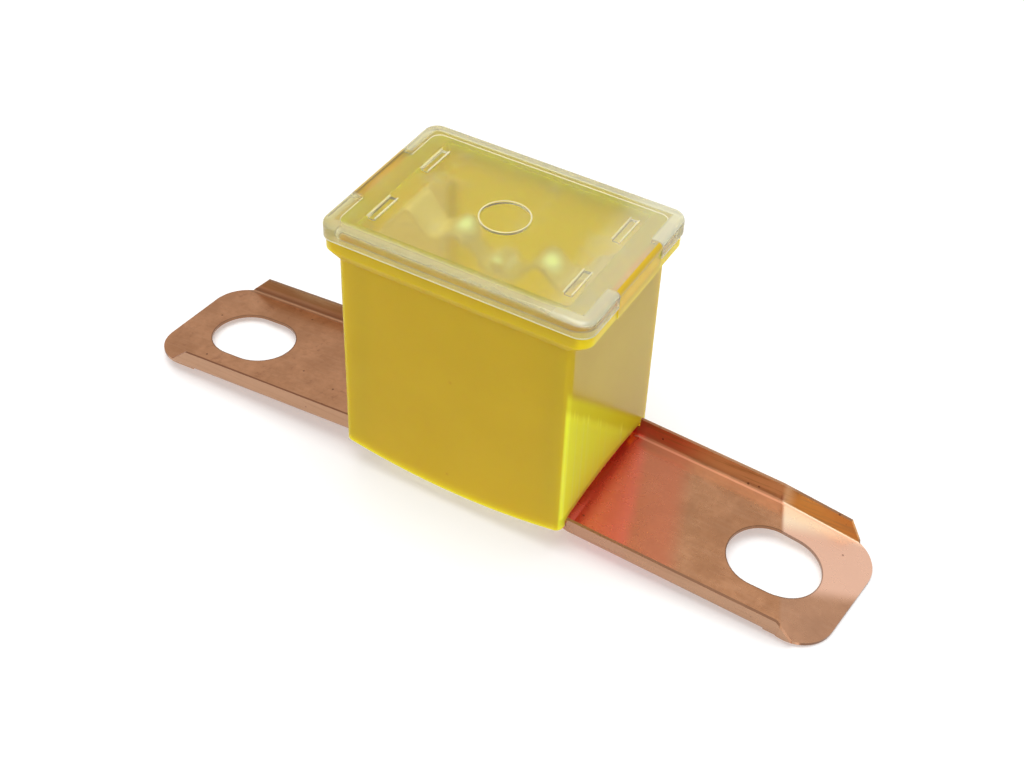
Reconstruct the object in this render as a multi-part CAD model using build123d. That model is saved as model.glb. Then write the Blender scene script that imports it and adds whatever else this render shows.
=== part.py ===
from build123d import *
import math
import os

# Automotive cartridge fuse, bolt-down type: a U-shaped copper strip in a yellow
# box, its two slotted terminals bent outwards under the end walls, and a clear
# clip-on cover. Millimetres, +Z up, X along the two terminals.
# The working frame has z = 0 at the housing's bottom corners. At the end all
# pieces are moved so that the origin is the bottom centre of the whole.

# ---------------------------------------------------------------- dimensions
# housing
BODY_HX, BODY_HY = 8.77, 6.53      # half length and half width outside
WALL = 0.95                        # wall thickness
BODY_R = 0.45                      # vertical corner radius
BOW = 0.85                         # long walls bow down at mid length
ARCH_HY, ARCH_Z = 5.75, 0.95       # end-wall arch over each terminal
RIM_HX, RIM_HY = 9.88, 6.88        # rim that carries the cover
RIM_TOP, RIM_EDGE, RIM_ROOT = 17.74, 16.85, 16.15
RIM_R = 1.05
SPIGOT_HX, SPIGOT_HY = 9.05, 6.05  # collar inside the cover's skirt
SPIGOT_TOP = 18.52
TAB_HY, TAB_HX = 2.90, 9.94        # end tabs that fill the cover's notches
GUIDE_X0, GUIDE_X1 = 7.02, 7.40    # guide ribs behind the risers
GUIDE_HY, GUIDE_Z0, GUIDE_Z1 = 4.75, 1.6, 15.6

# cover
COVER_HX, COVER_HY, COVER_R = 10.0, 7.0, 1.09
COVER_Z0, COVER_Z1 = 17.76, 18.99
COVER_PLATE = 0.43                 # thickness of the flat top
COVER_EDGE_R = 0.38                # rounded top edge
SKIRT_HX, SKIRT_HY = 9.10, 6.10    # inside of the skirt
NOTCH_HY = 2.97
SLOT_X, SLOT_Y, SLOT_W, SLOT_L = 7.25, 3.20, 0.60, 2.75   # blind slots underneath
SLOT_DY, SLOT_D = -0.20, 0.22      # they sit a little towards the front
PIN_MARK_R, PIN_MARK_W, PIN_MARK_D = 1.78, 0.15, 0.12

# copper strip
T = 0.22                           # sheet thickness
RISER_X = 7.58                     # mid plane of each riser
RISER_HY = 5.10
RISER_TOP = 16.60
BEND_R = 0.50                      # inside radius at the foot of a riser
WEB_Z = -0.55                      # top of the web where it leaves the housing
FLANGE_START = 8.81
TERM_HY = 5.54                     # half width over the flanges at the web
TERM_LEAN = 0.16                   # outward lean at the flange top
FLANGE_H = 1.34                    # above the web's top face
FLANGE_RI = 0.15                   # inside radius of the flange bend
TAB_TIP_HY, TIP_R = 5.48, 2.78
HOLE_X, HOLE_R, HOLE_L = 22.0, 2.70, 6.75   # slotted stud holes
# each terminal has been bent a little: fall per mm of x, rise per mm of y
# the tip's end is given at its back and front corner; under the end wall the
# flanges start low, at the toe height
RIGHT = dict(pitch=0.058, roll=0.040, tip=(28.50, 27.55), toe=0.55,
             back_end=(25.40, 26.40), front_end=(24.45, 25.80))
LEFT = dict(pitch=0.065, roll=-0.070, tip=(27.75, 27.95), toe=0.40,
            back_end=(24.70, 26.10), front_end=(24.10, 25.70))
# the right one is also creased on a slant, from its back edge to its front edge
CREASE = ((20.3, 5.14), (24.7, -5.50))
CREASE_DEG = 5.5

# fusible link and its tin slug
LINK_HY = 2.95                     # half width of the tongue at the riser
LINK_PTS = [(-6.55, 17.30), (-5.95, 16.55), (-5.00, 15.75), (-4.10, 16.20),
            (-3.20, 16.72), (-2.35, 16.05), (-1.55, 14.95), (-0.95, 14.62)]
SLUG_HX, SLUG_HY, SLUG_H = 0.80, 0.72, 0.62
CLAW_HX = 0.45


# ------------------------------------------------------------------- helpers
def box(x0, x1, y0, y1, z0, z1):
    return Pos((x0 + x1) / 2, (y0 + y1) / 2, (z0 + z1) / 2) * Box(
        x1 - x0, y1 - y0, z1 - z0)


def round_box(hx, hy, r, z0, z1):
    return Pos(0, 0, z0) * extrude(RectangleRounded(2 * hx, 2 * hy, r), z1 - z0)


def one(shape):
    """The single solid of a shape."""
    s = shape.solids()
    assert len(s) == 1, len(s)
    return s[0]


# ------------------------------------------------------------------- housing
def make_housing():
    body = round_box(BODY_HX, BODY_HY, BODY_R, -BOW, RIM_EDGE)
    # the rim's underside slopes from the wall out to its edge
    neck = loft([
        Pos(0, 0, RIM_ROOT) * RectangleRounded(2 * BODY_HX, 2 * BODY_HY, BODY_R),
        Pos(0, 0, RIM_EDGE) * RectangleRounded(2 * RIM_HX, 2 * RIM_HY, RIM_R)],
        ruled=True)
    rim = round_box(RIM_HX, RIM_HY, RIM_R, RIM_EDGE, RIM_TOP)
    spigot = round_box(SPIGOT_HX, SPIGOT_HY, 0.7, RIM_TOP, SPIGOT_TOP)
    shell = body + neck + rim + spigot
    shell += box(-TAB_HX, TAB_HX, -TAB_HY, TAB_HY, RIM_EDGE, SPIGOT_TOP)
    # the cavity goes right through, from the open bottom to the open top
    shell -= round_box(BODY_HX - WALL, BODY_HY - WALL, 0.3, -5, 25)
    # outside the bowed bottom edge of the long walls
    rad = (BODY_HX ** 2 + BOW ** 2) / (2 * BOW)
    below = box(-30, 30, -20, 20, -6, 0) - (
        Pos(0, 0, rad - BOW) * Rot(90, 0, 0) * Cylinder(rad, 60))
    shell -= below
    # arch in the lower edge of each end wall
    arch = make_face(Polyline(
        (-ARCH_HY, -3), (-ARCH_HY, 0.30), (-ARCH_HY + 0.55, 0.62),
        (-2.6, ARCH_Z - 0.08), (0, ARCH_Z), (2.6, ARCH_Z - 0.08),
        (ARCH_HY - 0.55, 0.62), (ARCH_HY, 0.30), (ARCH_HY, -3), close=True))
    arch = Plane.YZ * arch
    for s in (-1, 1):
        shell -= Pos(s * (BODY_HX - 0.5), 0, 0) * extrude(arch, 0.9, both=True)
    # four guide ribs hold the risers against the end walls
    for sx in (-1, 1):
        for sy in (-1, 1):
            shell += box(*sorted((sx * GUIDE_X0, sx * GUIDE_X1)),
                         *sorted((sy * GUIDE_HY, sy * (BODY_HY - WALL + 0.1))),
                         GUIDE_Z0, GUIDE_Z1)
    return one(shell)


# --------------------------------------------------------------------- cover
def make_cover():
    c = round_box(COVER_HX, COVER_HY, COVER_R, COVER_Z0, COVER_Z1)
    c = fillet(c.edges().group_by(Axis.Z)[-1], COVER_EDGE_R)
    c -= round_box(SKIRT_HX, SKIRT_HY, 0.75, COVER_Z0 - 1, COVER_Z1 - COVER_PLATE)
    for s in (-1, 1):
        c -= box(*sorted((s * 8.9, s * 10.5)), -NOTCH_HY, NOTCH_HY,
                 COVER_Z0 - 1, COVER_Z1 - COVER_PLATE)
    for sx in (-1, 1):
        for sy in (-1, 1):
            c -= Pos(sx * SLOT_X, sy * SLOT_Y + SLOT_DY,
                     COVER_Z1 - COVER_PLATE - 0.5) * extrude(
                RectangleRounded(SLOT_W, SLOT_L, 0.14), 0.5 + SLOT_D)
    # shallow ring mark on the underside, left by an ejector pin
    c -= Pos(0, 0, COVER_Z1 - COVER_PLATE) * (
        Cylinder(PIN_MARK_R, 2 * PIN_MARK_D)
        - Cylinder(PIN_MARK_R - PIN_MARK_W, 2 * PIN_MARK_D))
    return one(c)


# -------------------------------------------------------------- copper strip
def section(x, pitch, roll, face):
    """A section of the terminal, drawn in y and z about the web's top, put at x."""
    return Pos(x, 0, WEB_Z - pitch * (x - 8.7)) * Rot(
        math.degrees(math.atan(roll)), 0, 0) * (Plane.YZ * face)


def channel_face(h=FLANGE_H):
    """Web with two upturned flanges that lean out a little."""
    w, l = TERM_HY, TERM_LEAN * h / FLANGE_H
    pts = [(-w - l, h), (-w, -T), (w, -T), (w + l, h),
           (w + l - T, h), (w - T, 0), (-w + T, 0), (-w - l + T, h)]
    f = make_face(Polyline(*pts, close=True))
    lower = [v for v in f.vertices() if abs(v.Y + T) < 1e-6]
    f = fillet(lower, FLANGE_RI + T)
    inner = [v for v in f.vertices()
             if abs(v.Y) < 1e-6 and abs(abs(v.X) - (w - T)) < 1e-6]
    return fillet(inner, FLANGE_RI)


def make_terminal(pitch, roll, tip, toe, back_end, front_end, crease=None):
    """One terminal, running to +X from its riser's foot."""
    ch = channel_face()
    term = loft([section(x, pitch, roll, ch) for x in (FLANGE_START, 26.9)],
                ruled=True)
    # each flange ends on a slant
    for sy, (top, end) in ((1, back_end), (-1, front_end)):
        z_top = WEB_Z - pitch * (top - 8.7) + sy * roll * TERM_HY + FLANGE_H
        z_low = WEB_Z - pitch * (end - 8.7) + sy * roll * TERM_HY
        cut = make_face(Polyline(
            (top - 0.3, z_top + 0.5), (top, z_top), (end, z_low),
            (end + 0.38, z_low - 1.0), (32, z_low - 1.0), (32, z_top + 0.5),
            close=True))
        term -= Pos(0, sy * 6, 0) * extrude(Plane.XZ * cut, 6, both=True)
    # beyond the flanges the web goes on flat to its rounded tip
    plate = make_face(Polyline((-TAB_TIP_HY, -T), (TAB_TIP_HY, -T),
                               (TAB_TIP_HY, 0), (-TAB_TIP_HY, 0), close=True))
    tab = loft([section(x, pitch, roll, plate) for x in (23.6, max(tip) + 0.6)],
               ruled=True)
    ends = make_face(Polyline(
        (18, -TAB_TIP_HY), (tip[1], -TAB_TIP_HY), (tip[0], TAB_TIP_HY),
        (18, TAB_TIP_HY), close=True))
    ends = fillet([v for v in ends.vertices() if v.X > 20], TIP_R)
    tab &= Pos(0, 0, -8) * extrude(ends, 12)
    term += tab
    if crease:
        # what lies past the crease line is turned down about it
        (xa, ya), (xb, yb) = crease
        za = WEB_Z - pitch * (xa - 8.7) + roll * ya + FLANGE_H + 0.05
        zb = WEB_Z - pitch * (xb - 8.7) + roll * yb + FLANGE_H + 0.05
        far = (xb - xa) * 3, (yb - ya) * 3
        past = Pos(0, 0, -10) * extrude(make_face(Polyline(
            (xa - far[0], ya - far[1]), (xa + far[0], ya + far[1]),
            (60, ya + far[1]), (60, ya - far[1]), close=True)), 20)
        outer = term & past
        inner = term - past
        axis = Axis((xa, ya, za), (xb - xa, yb - ya, zb - za))
        outer = outer.rotate(axis, -CREASE_DEG)
        if outer.bounding_box().min.Z > term.bounding_box().min.Z:
            outer = outer.rotate(axis, 2 * CREASE_DEG)
        term = inner + outer
    # short twist between the level foot and the terminal's own set
    low = channel_face(toe)
    x0 = RISER_X + T / 2 + BEND_R
    twist = loft([Pos(x0, 0, WEB_Z) * (Plane.YZ * low),
                  section(FLANGE_START, pitch, roll, low)], ruled=True)
    term += twist
    # slotted stud hole, square to the housing's base
    term -= Pos(HOLE_X, 0, -6) * extrude(SlotOverall(HOLE_L, 2 * HOLE_R), 10)
    return term


def make_riser():
    """Upright plate inside an end wall, with the bend at its foot."""
    x0, x1 = RISER_X - T / 2, RISER_X + T / 2
    zb = WEB_Z + BEND_R                     # centre height of the foot bend
    xc = x1 + BEND_R
    side_view = make_face(
        Polyline((x0, zb), (x0, RISER_TOP), (x1, RISER_TOP), (x1, zb))
        + RadiusArc((x1, zb), (xc, WEB_Z), BEND_R)
        + Line((xc, WEB_Z), (xc, WEB_Z - T))
        + RadiusArc((xc, WEB_Z - T), (x0, zb), -(BEND_R + T)))
    r = extrude(Plane.XZ * side_view, RISER_HY, both=True)
    for s in (-1, 1):
        # sloping shoulders beside the tongue
        sh = make_face(Polyline(
            (s * 3.6, RISER_TOP + 1), (s * 3.6, RISER_TOP),
            (s * 6, RISER_TOP - 1.6), (s * 6, RISER_TOP + 1), close=True))
        r -= Pos(RISER_X, 0, 0) * extrude(Plane.YZ * sh, 1, both=True)
    return r


def make_link():
    """The wavy tongue from riser to riser, cut narrower towards the middle."""
    left = LINK_PTS
    right = [(-x, z) for x, z in reversed(left)]
    start = (-RISER_X, RISER_TOP - 0.25)
    mid = Spline(*left, (0, 14.62), *right,
                 tangents=[(0.75, -0.66), (0.75, 0.66)])
    lead_in = Spline(start, left[0], tangents=[(0, 1), (0.75, -0.66)])
    lead_out = Spline(right[-1], (RISER_X, RISER_TOP - 0.25),
                      tangents=[(0.75, 0.66), (0, -1)])
    n = 180
    pts = []
    for c in (lead_in, mid, lead_out):
        m = n if c is mid else 24
        for i in range(m + 1):
            u = i / m
            p, t = c @ u, c % u
            if pts and (p - pts[-1][0]).length < 1e-6:
                continue
            pts.append((p, t))
    up = [(p.X - t.Y * T / 2, p.Y + t.X * T / 2) for p, t in pts[::3]]
    dn = [(p.X + t.Y * T / 2, p.Y - t.X * T / 2) for p, t in pts[::3]]
    top, bot = Spline(*up), Spline(*dn)
    face = make_face(top + bot + Line(up[0], dn[0]) + Line(up[-1], dn[-1]))
    sheet = extrude(Plane.XZ * face, LINK_HY, both=True)
    # plan outline: broad at the risers, narrower on the waves, necked at two places
    half = [(-8.0, LINK_HY), (-7.45, LINK_HY), (-6.85, 1.42), (-5.9, 1.25),
            (-2.5, 1.25), (-2.15, 0.62), (-1.6, 0.62), (-1.25, 1.0)]
    half += [(-x, y) for x, y in reversed(half)]
    plan = make_face(Polyline(*half, *[(x, -y) for x, y in reversed(half)], close=True))
    return sheet & (Pos(0, 0, 10) * extrude(plan, 12))


def make_claws():
    """Two claws of the strip, folded over the slug from its sides."""
    z0 = 14.62 - T / 2
    zt = 14.62 + T / 2 + SLUG_H
    out = None
    for s in (-1, 1):
        y0, y1 = SLUG_HY + 0.03, SLUG_HY + 0.03 + T
        c = box(-CLAW_HX, CLAW_HX, *sorted((s * y0, s * y1)), z0, zt + 0.02 + T)
        c += box(-CLAW_HX, CLAW_HX, *sorted((s * 0.12, s * y1)), zt + 0.02, zt + 0.02 + T)
        out = c if out is None else out + c
    return out


def make_element():
    e = make_terminal(crease=CREASE, **RIGHT) + make_riser()
    e += mirror(make_terminal(**LEFT) + make_riser(), Plane.YZ)
    e += make_link()
    e += make_claws()
    return one(e)


def make_slug(element):
    z0 = 14.62 + T / 2
    s = box(-SLUG_HX, SLUG_HX, -SLUG_HY, SLUG_HY, z0 + 0.01, z0 + SLUG_H)
    s = fillet(s.edges().filter_by(Axis.Y), 0.2)
    return one(s - element)


# --------------------------------------------------------------------- build
housing = make_housing()
cover = make_cover()
fuse_element = make_element()
tin_slug = make_slug(fuse_element)
nodes = {"housing": housing, "cover": cover,
         "fuse_element": fuse_element, "tin_slug": tin_slug}

boxes = [n.bounding_box() for n in nodes.values()]
lo = [min(getattr(b.min, a) for b in boxes) for a in "XYZ"]
hi = [max(getattr(b.max, a) for b in boxes) for a in "XYZ"]
shift = Pos(-(lo[0] + hi[0]) / 2, -(lo[1] + hi[1]) / 2, -lo[2])
print("shift", [round(v, 4) for v in shift.position])

os.makedirs("parts", exist_ok=True)
for name, solid in nodes.items():
    moved = shift * solid
    print(name, round(moved.volume, 2), moved.bounding_box())
    export_step(moved, f"parts/{name}.step")
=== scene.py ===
import bpy
import math
from mathutils import Matrix, Vector

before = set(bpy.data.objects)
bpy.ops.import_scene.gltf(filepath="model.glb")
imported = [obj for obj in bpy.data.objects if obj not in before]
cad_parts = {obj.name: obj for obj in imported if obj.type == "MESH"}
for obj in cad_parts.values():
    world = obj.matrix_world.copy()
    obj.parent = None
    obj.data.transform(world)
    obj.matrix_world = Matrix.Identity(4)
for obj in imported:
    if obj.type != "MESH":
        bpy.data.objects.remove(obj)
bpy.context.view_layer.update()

MM = 0.001
# the working frame of the measurements, as an offset in the model's frame
OX, OZ = -0.0821 * MM, 2.4012 * MM
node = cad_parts
scene = bpy.context.scene


# ------------------------------------------------------------------ node help
class Mat:
    """A material's node tree, with short calls for the nodes used here."""

    def __init__(self, name):
        self.mat = bpy.data.materials.new(name)
        self.mat.use_nodes = True
        self.t = self.mat.node_tree
        self.t.nodes.clear()
        self.out = self.t.nodes.new("ShaderNodeOutputMaterial")
        self.pos = self.t.nodes.new("ShaderNodeTexCoord").outputs["Object"]
        sep = self.t.nodes.new("ShaderNodeSeparateXYZ")
        self.link(self.pos, sep.inputs[0])
        self.x, self.y, self.z = sep.outputs
        geo = self.t.nodes.new("ShaderNodeNewGeometry")
        sep = self.t.nodes.new("ShaderNodeSeparateXYZ")
        self.link(geo.outputs["Normal"], sep.inputs[0])
        self.nx, self.ny, self.nz = sep.outputs

    def link(self, a, b):
        self.t.links.new(a, b)

    def put(self, sock, v):
        if isinstance(v, bpy.types.NodeSocket):
            self.link(v, sock)
        elif isinstance(v, (tuple, list)) and len(v) == 3 and sock.type == "RGBA":
            sock.default_value = (*v, 1.0)
        else:
            sock.default_value = v

    def math(self, op, a, b=0.0, clamp=False):
        n = self.t.nodes.new("ShaderNodeMath")
        n.operation = op
        n.use_clamp = clamp
        self.put(n.inputs[0], a)
        if op not in ("ABSOLUTE", "SINE", "SQRT"):
            self.put(n.inputs[1], b)
        return n.outputs[0]

    def add(self, a, b):
        return self.math("ADD", a, b)

    def mul(self, a, b):
        return self.math("MULTIPLY", a, b)

    def lin(self, a, b, c, d):
        """a x + b y + c z + d, with x, y, z in mm of the measuring frame."""
        d = d - a * OX / MM - c * OZ / MM
        s = None
        for k, v in ((a, self.x), (b, self.y), (c, self.z)):
            if k:
                t = self.mul(v, k / MM)
                s = t if s is None else self.add(s, t)
        return self.add(s, d)

    def step(self, v, lo, hi, a=0.0, b=1.0):
        """Smooth step from a at lo to b at hi."""
        n = self.t.nodes.new("ShaderNodeMapRange")
        n.interpolation_type = "SMOOTHSTEP"
        self.put(n.inputs["Value"], v)
        n.inputs["From Min"].default_value = lo
        n.inputs["From Max"].default_value = hi
        n.inputs["To Min"].default_value = a
        n.inputs["To Max"].default_value = b
        return n.outputs[0]

    def scaled(self, sx, sy, sz):
        n = self.t.nodes.new("ShaderNodeMapping")
        self.link(self.pos, n.inputs[0])
        n.inputs["Scale"].default_value = (sx, sy, sz)
        return n.outputs[0]

    def noise(self, scale, detail=3.0, rough=0.55, vec=None, dist=0.0):
        n = self.t.nodes.new("ShaderNodeTexNoise")
        self.link(vec if vec is not None else self.pos, n.inputs["Vector"])
        n.inputs["Scale"].default_value = scale
        n.inputs["Detail"].default_value = detail
        n.inputs["Roughness"].default_value = rough
        n.inputs["Distortion"].default_value = dist
        return n.outputs[0]

    def voronoi(self, scale, vec=None):
        n = self.t.nodes.new("ShaderNodeTexVoronoi")
        self.link(vec if vec is not None else self.pos, n.inputs["Vector"])
        n.inputs["Scale"].default_value = scale
        return n.outputs["Distance"]

    def mix(self, fac, a, b, blend="MIX"):
        n = self.t.nodes.new("ShaderNodeMix")
        n.data_type = "RGBA"
        n.blend_type = blend
        self.put(n.inputs[0], fac)
        self.put(n.inputs[6], a)
        self.put(n.inputs[7], b)
        return n.outputs[2]

    def bump(self, height, strength, dist, normal=None):
        n = self.t.nodes.new("ShaderNodeBump")
        n.inputs["Strength"].default_value = strength
        n.inputs["Distance"].default_value = dist
        self.link(height, n.inputs["Height"])
        if normal is not None:
            self.link(normal, n.inputs["Normal"])
        return n.outputs[0]

    def principled(self, **kw):
        n = self.t.nodes.new("ShaderNodeBsdfPrincipled")
        for k, v in kw.items():
            self.put(n.inputs[k], v)
        self.link(n.outputs[0], self.out.inputs["Surface"])
        return n


def assign(obj, mat):
    obj.data.materials.clear()
    obj.data.materials.append(mat.mat)


# -------------------------------------------------------------------- copper
def copper_material():
    m = Mat("rolled_copper")
    x, y, z = m.lin(1, 0, 0, 0), m.lin(0, 1, 0, 0), m.lin(0, 0, 1, 0)
    ax, ay = m.math("ABSOLUTE", x), m.math("ABSOLUTE", y)
    blotch = m.noise(420, 4, 0.6)
    fine = m.noise(2600, 3, 0.6)
    grain = m.noise(300, 5, 0.65, m.scaled(1.2, 14, 14))
    base = m.mix(m.step(blotch, 0.35, 0.68), (0.60, 0.285, 0.142), (0.74, 0.365, 0.190))
    base = m.mix(m.mul(m.step(fine, 0.40, 0.72), 0.30), base, (0.50, 0.22, 0.10))
    base = m.mix(m.mul(m.step(grain, 0.45, 0.70), 0.18), base, (0.80, 0.46, 0.28))
    left = m.step(m.lin(-1, 0, 0, 0), 7.0, 10.0)
    right = m.step(x, 7.0, 8.6)
    # left terminal: a browner tone with dark tarnish patches
    patch = m.step(m.noise(900, 4, 0.7, dist=0.4), 0.56, 0.70)
    base = m.mix(m.mul(left, m.mul(patch, 0.36)), base, (0.36, 0.13, 0.07))
    # right terminal: a painted reflection of the housing wall, red close to the wall, in two steps with
    # slanted ends, deepest at the wall's foot
    e2 = m.lin(1, 0.36, 0, -14.75)
    wall_reflection_far = m.mul(right, m.step(e2, 0.9, -0.9))
    base = m.mix(m.mul(wall_reflection_far, 0.72), base, (0.84, 0.255, 0.135))
    e1 = m.lin(1, 0.355, 0, -11.3)
    e1 = m.add(e1, m.mul(m.add(m.noise(500, 2), -0.5), 0.7))
    wall_reflection_near = m.mul(right, m.step(e1, 0.55, -0.55))
    base = m.mix(m.mul(wall_reflection_near, 0.90), base, (0.92, 0.215, 0.145))
    wall_reflection_foot = m.mul(right, m.step(x, 10.1, 8.9))
    base = m.mix(m.mul(wall_reflection_foot, 0.75), base, (0.70, 0.075, 0.035))
    # painted shade: a darker strip on the plate along the foot of the back flange, out from the wall
    flange_foot_shade = m.mul(right, m.mul(m.step(y, 3.9, 4.6), m.step(x, 8.9, 9.6)))
    base = m.mix(m.mul(flange_foot_shade, 0.55), base, (0.40, 0.22, 0.13))
    # its tip, past the crease: a painted highlight, with a painted pink reflection and a painted cream
    # highlight, less metallic there
    past = m.mul(right, m.step(m.lin(0.924, 0.382, 0, -20.72), -0.05, 0.30))
    base = m.mix(m.mul(past, 0.30), base, (0.86, 0.52, 0.36))
    pink_reflection = m.mul(past, m.step(m.lin(-0.465, 0.886, 0, 12.575), -0.7, 0.7))
    base = m.mix(pink_reflection, base, (0.82, 0.49, 0.35))
    cream_highlight = m.mul(past, m.step(m.lin(-0.45, 1, 0, 6.78), -0.5, 1.3))
    base = m.mix(cream_highlight, base, (0.91, 0.72, 0.51))
    dull = m.add(m.add(m.mul(pink_reflection, 0.62), m.mul(cream_highlight, 0.22)), m.mul(wall_reflection_near, 0.22))
    # flanges: inner face at the back, tinted along its length; on the right, the red near the wall is a
    # painted reflection of the housing wall
    streak = m.step(m.noise(1, 4, 0.65, m.scaled(150, 900, 3200)), 0.48, 0.66)
    inner = m.mix(past, m.step(y, 5.29, 5.36), m.step(y, 5.19, 5.27))
    outside = m.step(ax, 8.5, 8.7)
    fr = m.mul(m.mul(inner, right), outside)
    tone = m.mix(m.step(x, 11.0, 15.5), (0.66, 0.20, 0.10), (0.76, 0.46, 0.24))
    tone = m.mix(m.step(x, 20.4, 21.4), tone, (0.62, 0.28, 0.07))
    tone = m.mix(m.mul(streak, 0.60), tone, (0.42, 0.22, 0.08))
    base = m.mix(fr, base, tone)
    dull = m.mix(m.mul(fr, m.step(x, 20.4, 21.4)), dull, (0.25, 0.25, 0.25))
    fl = m.mul(m.mul(inner, left), outside)
    high = m.step(m.lin(-0.065, 0.07, 1, 0.55 - 0.566), 0.45, 0.75)
    tone = m.mix(high, (0.67, 0.50, 0.34), (0.52, 0.36, 0.20))
    tone = m.mix(m.mul(streak, 0.30), tone, (0.35, 0.20, 0.09))
    base = m.mix(fl, base, tone)
    # painted shade: a dark line in the crease at the foot of the left back flange
    bend = m.mul(outside, m.mul(m.step(y, 4.96, 5.08), m.step(y, 5.42, 5.34)))
    base = m.mix(m.mul(m.mul(bend, left), 0.85), base, (0.38, 0.21, 0.12))
    # painted highlight: a light line along the fold of the right back flange
    fold = m.mul(outside, m.mul(m.step(y, 4.94, 5.02), m.step(y, 5.20, 5.12)))
    base = m.mix(m.mul(m.mul(fold, right), 0.62), base, (0.92, 0.56, 0.38))
    top = m.mul(outside, m.mul(m.step(m.nz, 0.60, 0.75), m.step(y, 5.33, 5.38)))
    base = m.mix(m.mul(top, 0.80), base, (0.40, 0.20, 0.11))
    # front flanges: outer face, and a painted shade line along the top edge
    face = m.mul(outside, m.step(m.ny, -0.45, -0.65))
    face = m.mul(face, m.step(y, -5.2, -5.4))
    base = m.mix(m.mul(face, 0.92), base, m.mix(m.mul(streak, 0.4), (0.44, 0.255, 0.155), (0.32, 0.17, 0.09)))
    crest = m.mul(m.mul(outside, m.step(ax, 25.9, 25.7)),
                  m.mul(m.step(m.nz, 0.60, 0.75), m.step(y, -5.41, -5.44)))
    base = m.mix(crest, base, m.mix(left, (0.42, 0.21, 0.12), (0.34, 0.145, 0.075)))
    # cut edges at the holes and tips are darker
    hx = m.math("MAXIMUM", m.add(m.math("ABSOLUTE", m.add(ax, -22.0)), -0.675), 0.0)
    hole = m.math("SQRT", m.add(m.mul(hx, hx), m.mul(y, y)))
    cut = m.step(hole, 2.80, 2.72)
    side = m.step(m.math("ABSOLUTE", m.nz), 0.70, 0.55)
    cut = m.math("MAXIMUM", m.mul(cut, 0.85), m.mul(side, m.step(ax, 26.0, 26.3)))
    cut = m.mul(cut, m.step(ax, 18.0, 18.2))
    base = m.mix(m.mul(cut, 0.88), base, (0.17, 0.085, 0.05))
    # inside the box the strip is painted with the yellow reflected from around it, and given a faint painted
    # glow (emission)
    inside = m.mul(m.step(ax, 8.1, 7.9), m.step(z, 0.6, 1.2))
    base = m.mix(m.mul(inside, 0.96), base, (0.55, 0.48, 0.12))
    dull = m.math("MAXIMUM", dull, m.mul(inside, 0.96))
    # three painted highlights on the link: light spots that also glow (emission)
    glow = None
    for gx, gy, gr in ((-3.14, 0.25, 0.95), (-0.10, -0.9, 0.70), (3.66, -0.05, 0.95)):
        dx, dy = m.add(x, -gx), m.mul(m.add(y, -gy), 0.75)
        d = m.math("SQRT", m.add(m.mul(dx, dx), m.mul(dy, dy)))
        g = m.step(d, gr, gr * 0.1)
        glow = g if glow is None else m.math("MAXIMUM", glow, g)
    glow = m.mul(m.mul(glow, m.step(m.nz, 0.2, 0.6)), m.step(z, 13.5, 14.2))
    base = m.mix(glow, base, (0.82, 0.95, 0.46))
    dull = m.math("MAXIMUM", dull, m.mul(glow, 0.85))
    # dark specks
    speck = m.step(m.voronoi(900), 0.10, 0.055)
    gate = m.step(m.noise(350, 2), 0.50, 0.62)
    base = m.mix(m.mul(m.mul(speck, gate), 0.75), base, (0.13, 0.045, 0.03))
    rough = m.add(m.mul(m.noise(700, 4, 0.6), 0.14), m.mul(right, -0.06))
    rough = m.add(rough, m.add(m.mul(bend, 0.20), 0.26))
    rough = m.add(rough, m.mul(m.mul(flange_foot_shade, m.step(ax, 20.6, 20.3)), 0.22))
    h = m.add(m.mul(fine, 0.35), m.mul(grain, 0.65))
    nrm = m.bump(h, 0.22, 0.00002)
    # the emission is a painted glow: on the highlights, and fainter on the strip inside the box, a little
    # stronger on its left
    m.principled(**{"Base Color": base, "Metallic": m.math("SUBTRACT", 1.0, dull, clamp=True),
                    "Roughness": rough, "Normal": nrm,
                    "Emission Color": m.mix(glow, (0.86, 0.74, 0.20), (0.80, 1.0, 0.45)),
                    "Emission Strength": m.math("MAXIMUM", m.mul(glow, 0.32), m.mul(inside, m.step(x, -3.6, -5.0, 0.22, 0.34)))})
    return m


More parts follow.
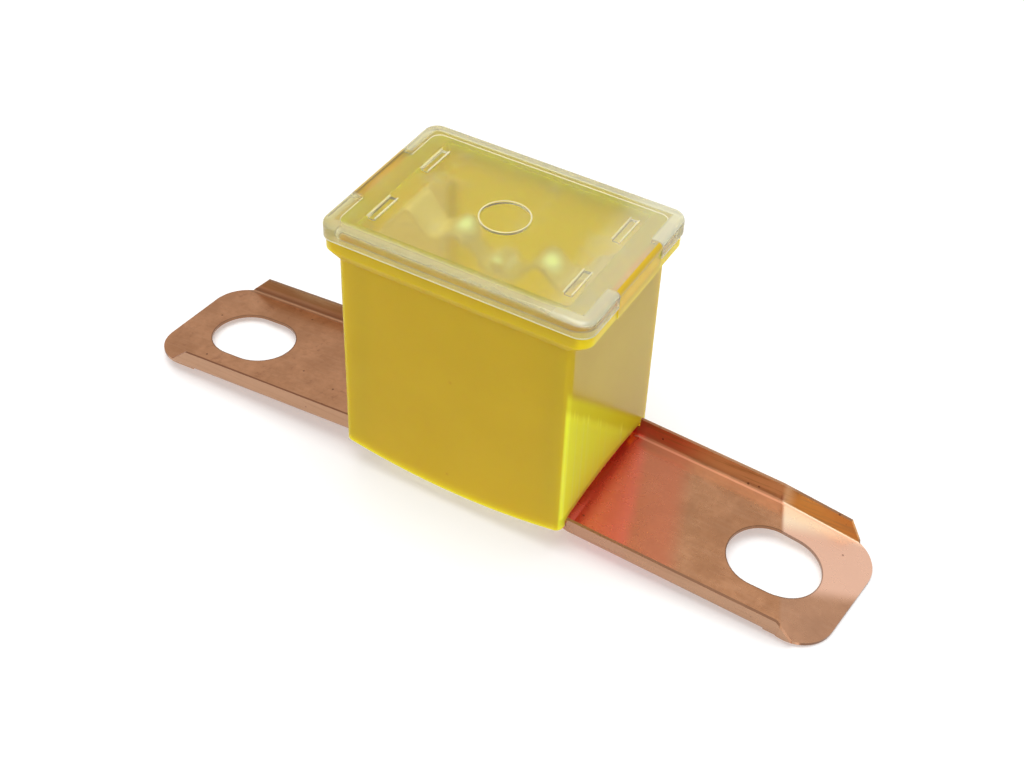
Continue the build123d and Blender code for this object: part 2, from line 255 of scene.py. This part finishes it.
# ------------------------------------------------------------------- plastics
def yellow_material():
    m = Mat("yellow_plastic")
    x, y, z = m.lin(1, 0, 0, 0), m.lin(0, 1, 0, 0), m.lin(0, 0, 1, 0)
    ax, ay = m.math("ABSOLUTE", x), m.math("ABSOLUTE", y)
    cloud = m.noise(90, 3, 0.5)
    base = m.mix(m.step(cloud, 0.3, 0.7), (0.478, 0.352, 0.011), (0.512, 0.380, 0.014))
    # a little brighter along the rim and the bottom edge
    band = m.math("MAXIMUM", m.step(z, 16.4, 16.9), m.mul(m.step(z, 0.1, -0.4), 0.5))
    base = m.mix(m.mul(band, 0.20), base, (0.78, 0.55, 0.01))
    # the end wall by the right terminal: a painted light patch, bright and green low down, with an olive band
    # along its upper edge and lighter streaks; duller again along the wall's bottom
    end = m.mul(m.step(x, 8.2, 8.6), m.step(m.nx, 0.4, 0.8))
    streak = m.step(m.noise(1, 3, 0.6, m.scaled(500, 2600, 55)), 0.46, 0.70)
    e1 = m.lin(0, -0.95, -1.0, 6.2)
    e2 = m.lin(0, -0.956, -1.0, 4.9)
    e2 = m.add(e2, m.mul(m.add(streak, -0.5), 0.5))
    base = m.mix(m.mul(end, m.step(e1, -0.5, 0.4)), base, (0.66, 0.60, 0.02))
    lit_patch = m.mul(end, m.step(e2, -0.5, 0.5))
    base = m.mix(lit_patch, base, (1.0, 0.95, 0.045))
    base = m.mix(m.mul(lit_patch, m.mul(streak, 0.18)), base, (0.98, 0.97, 0.35))
    sill = m.mul(end, m.step(m.add(z, m.mul(m.math("ABSOLUTE", m.add(y, 0.4)), 0.10)), 1.75, 1.35))
    base = m.mix(m.mul(sill, 0.6), base, (0.60, 0.60, 0.02))
    # inside: the inner faces painted a brighter yellow than the outside, standing in for the light glowing
    # inside the box
    inner = m.mul(m.step(ax, 7.95, 7.87), m.step(ay, 5.70, 5.62))
    base = m.mix(inner, base, (1.0, 0.78, 0.02))
    # painted light: the collar's top face, seen through the lid, painted lighter
    crown = m.mul(m.step(z, 17.5, 17.7), m.mul(m.step(m.nz, 0.5, 0.8), m.step(ax, 9.35, 9.25)))
    base = m.mix(m.mul(crown, 0.9), base, (0.66, 0.565, 0.02))
    # painted light: the collar's flanks just under the lid, painted lighter
    flank = m.mul(m.step(z, 17.74, 17.80), m.step(m.math("ABSOLUTE", m.nz), 0.5, 0.3))
    flank = m.mul(flank, m.math("SUBTRACT", 1.0, inner))
    base = m.mix(m.mul(flank, 0.9), base, (0.74, 0.56, 0.02))
    tab = m.mul(m.step(ax, 9.1, 9.3), m.mul(m.step(ay, 3.1, 2.9), m.step(z, 17.3, 17.7)))
    base = m.mix(m.mul(tab, 0.8), base, (0.76, 0.47, 0.0))
    corner = m.mul(m.step(x, 8.9, 9.4), m.mul(m.step(ay, 2.9, 3.3), m.step(z, 16.6, 17.2)))
    base = m.mix(m.mul(corner, 0.7), base, (0.86, 0.62, 0.01))
    # small marks in the moulding
    mark = None
    for a, b, c, d, r in ((0, 1, 9.4, -0.07, 0.16), (0, 1, 0.76, -0.26, 0.14), (1, 0, 9.23, 5.35, 0.13)):
        u = x if b else y
        q = m.math("MAXIMUM", m.math("ABSOLUTE", m.add(u, -d)), m.math("ABSOLUTE", m.add(z, -c)))
        wall = m.step(y, -6.3, -6.45) if b else end
        g = m.mul(wall, m.step(q, r, r * 0.4))
        mark = g if mark is None else m.math("MAXIMUM", mark, g)
    base = m.mix(m.mul(mark, 0.45), base, (0.40, 0.24, 0.01))
    rough = m.add(m.mul(m.noise(300, 3), 0.10), 0.17)
    nrm = m.bump(m.noise(260, 3, 0.5), 0.12, 0.00004)
    m.principled(**{
        "Base Color": base, "Roughness": rough, "IOR": 1.52,
        "Specular IOR Level": 0.12,
        "Subsurface Weight": 1.0, "Subsurface Radius": (1.0, 0.72, 0.10),
        "Subsurface Scale": 0.0045, "Normal": nrm})
    return m


def clear_material():
    m = Mat("clear_plastic")
    x, y, z = m.lin(1, 0, 0, 0), m.lin(0, 1, 0, 0), m.lin(0, 0, 1, 0)
    ax, ay = m.math("ABSOLUTE", x), m.math("ABSOLUTE", y)
    top = m.step(z, 18.62, 18.80)
    # above the skirt the thick edge looks milky, more so at the back: partly the plastic's haze, partly a
    # painted reflection of the sky
    edge = m.math("MINIMUM", m.math("SUBTRACT", 10.0, ax), m.math("SUBTRACT", 7.0, ay))
    milky = m.mul(m.step(edge, 1.0, 0.75), top)
    milky = m.mul(milky, m.step(m.add(m.step(ay, 2.8, 3.2), m.step(ax, 9.0, 8.8)), 0.2, 0.8))
    milky = m.mul(milky, m.step(y, -6.0, 6.0, 0.95, 1.8))
    # painted reflection: a whitish haze over the right end of the top
    right = m.mul(m.step(m.lin(1, 0.06, 0, 0), 5.2, 8.4), top)
    # long sides of the blind slots, and the ejector mark: painted highlights along their edges
    qx = m.math("ABSOLUTE", m.add(m.math("ABSOLUTE", m.add(ax, -7.25)), -0.30))
    ys = m.math("ABSOLUTE", m.add(m.math("ABSOLUTE", m.lin(0, 1, 0, 0.20)), -3.20))
    line1 = m.mul(m.step(qx, 0.09, 0.04), m.step(ys, 1.42, 1.34))
    pocket = m.mul(m.step(m.math("ABSOLUTE", m.add(ax, -7.25)), 0.42, 0.38), m.step(ys, 1.50, 1.46))
    pocket = m.mul(pocket, m.mul(m.step(m.math("ABSOLUTE", m.nz), 0.6, 0.4), m.step(z, 18.5, 18.6)))
    r2 = m.add(m.mul(ax, ax), m.mul(ay, ay))
    ring_d = m.math("ABSOLUTE", m.add(m.math("SQRT", r2), -1.72))
    line2 = m.step(ring_d, 0.075, 0.025)
    line = m.mul(m.math("MAXIMUM", m.mul(line1, 0.85), line2), top)
    # the skirt, with a painted highlight line along its lower edge
    skirt = m.step(z, 18.62, 18.50)
    flat = m.math("ABSOLUTE", m.nz)
    rim = m.mul(m.step(z, 17.90, 17.84), m.step(flat, 0.5, 0.3))
    wisp = m.noise(420, 4, 0.6)
    haze = m.add(m.mul(milky, 0.16), m.mul(right, 0.20))
    haze = m.add(haze, m.mul(m.step(wisp, 0.5, 0.75), 0.05))
    haze = m.math("MAXIMUM", haze, m.mul(line, 0.50))
    haze = m.math("MAXIMUM", haze, m.mul(pocket, 0.30))
    haze = m.math("MAXIMUM", haze, m.mul(rim, 0.50))
    # its lower face sits on the yellow rim and is painted in the rim's tone, a painted reflection of the rim
    seat = m.mul(m.step(z, 17.80, 17.77), m.step(flat, 0.6, 0.8))
    haze = m.math("MAXIMUM", haze, m.mul(seat, 0.62))
    # over the notches the plate's edge is painted in the tab's tone, as the tab seen behind it
    lip = m.mul(m.mul(m.step(ax, 9.62, 9.72), m.step(ay, 3.0, 2.9)), m.step(z, 18.5, 18.55))
    haze = m.math("MAXIMUM", haze, m.mul(lip, 0.85))
    trans = m.math("SUBTRACT", 0.98, haze, clamp=True)
    under = m.step(z, 18.70, 18.62)
    rough = m.add(m.mul(m.noise(250, 3), 0.06), m.mul(under, 0.11))
    rough = m.add(rough, 0.07)
    nrm = m.bump(m.noise(180, 3, 0.5), 0.10, 0.00004)
    base = m.mix(skirt, (0.985, 0.965, 0.83), (0.99, 0.94, 0.68))
    base = m.mix(milky, base, (0.91, 0.915, 0.75))
    base = m.mix(m.math("MAXIMUM", m.math("MAXIMUM", rim, pocket), line), base, (1.0, 0.955, 0.66))
    base = m.mix(lip, base, (0.66, 0.43, 0.01))
    base = m.mix(seat, base, (0.97, 0.82, 0.26))
    m.principled(**{
        "Base Color": base, "Roughness": rough, "IOR": 1.49,
        "Transmission Weight": trans, "Normal": nrm})
    return m


def tin_material():
    m = Mat("tin_alloy")
    n = m.noise(1500, 4, 0.6)
    # the yellowish tone is a painted reflection of the yellow around the slug, and the emission is a painted
    # glow standing in for its highlight
    base = m.mix(m.step(n, 0.35, 0.7), (0.66, 0.65, 0.42), (0.84, 0.83, 0.54))
    rough = m.add(m.mul(n, 0.25), 0.30)
    m.principled(**{"Base Color": base, "Metallic": 0.5, "Roughness": rough,
                    "Normal": m.bump(n, 0.3, 0.00003),
                    "Emission Color": (0.86, 0.84, 0.30), "Emission Strength": 0.24})
    return m


assign(node["fuse_element"], copper_material())
assign(node["housing"], yellow_material())
assign(node["cover"], clear_material())
assign(node["tin_slug"], tin_material())

# --------------------------------------------------------------------- camera
Rx = Vector((0.86275718, 0.50468035, 0.03078619))
Ry = Vector((0.35782933, -0.56642782, -0.74237302))
Rz = Vector((-0.35722292, 0.65150385, -0.66927910))
eye = Vector((42.45071653 * MM + OX, -75.64631128 * MM, 82.82065614 * MM + OZ))
cd = bpy.data.cameras.new("camera")
cd.sensor_width = 36.0
cd.sensor_fit = "HORIZONTAL"
cd.lens = 58.1409
cd.shift_x = 0.00054
cd.shift_y = -0.00407
cd.clip_start = 0.001
cd.clip_end = 10.0
cam = bpy.data.objects.new("camera", cd)
m4 = Matrix.Identity(4)
for i in range(3):
    m4[i][0], m4[i][1], m4[i][2], m4[i][3] = Rx[i], -Ry[i], -Rz[i], eye[i]
cam.matrix_world = m4
scene.collection.objects.link(cam)
scene.camera = cam

# --------------------------------------------------------------- floor, light
fm = Mat("studio_floor")
fm.principled(**{"Base Color": (0.66, 0.66, 0.66), "Roughness": 0.9,
                 "Specular IOR Level": 0.1,
                 "Emission Color": (1.0, 1.0, 1.0), "Emission Strength": 0.36})
me = bpy.data.meshes.new("floor")
S = 2.0
me.from_pydata([(-S, -S, 0), (S, -S, 0), (S, S, 0), (-S, S, 0)], [], [(0, 1, 2, 3)])
floor = bpy.data.objects.new("floor", me)
scene.collection.objects.link(floor)
me.materials.append(fm.mat)

world = bpy.data.worlds.new("studio")
scene.world = world
world.use_nodes = True
wt = world.node_tree
bg = wt.nodes["Background"]
bg.inputs["Strength"].default_value = 1.0
wc = wt.nodes.new("ShaderNodeTexCoord")
ws = wt.nodes.new("ShaderNodeSeparateXYZ")
wr = wt.nodes.new("ShaderNodeMapRange")
wr.interpolation_type = "SMOOTHSTEP"
wt.links.new(wc.outputs["Generated"], ws.inputs[0])
wt.links.new(ws.outputs[2], wr.inputs["Value"])
wr.inputs["From Min"].default_value = 0.0
wr.inputs["From Max"].default_value = 0.6
wr.inputs["To Min"].default_value = 0.50
wr.inputs["To Max"].default_value = 0.58
wt.links.new(wr.outputs[0], bg.inputs["Color"])


def area(name, loc, target, size, power, size_y=None):
    ld = bpy.data.lights.new(name, "AREA")
    ld.shape = "RECTANGLE" if size_y else "SQUARE"
    ld.size = size
    if size_y:
        ld.size_y = size_y
    ld.energy = power
    ob = bpy.data.objects.new(name, ld)
    ob.location = loc
    d = Vector(target) - Vector(loc)
    ob.rotation_euler = d.to_track_quat("-Z", "Y").to_euler()
    scene.collection.objects.link(ob)
    return ob


area("top", (0.0, -0.05, 0.62), (0, 0, 0.0), 0.46, 2.9)

scene.view_settings.view_transform = "Standard"
scene.view_settings.look = "None"
scene.view_settings.exposure = 0.0
scene.view_settings.gamma = 1.0
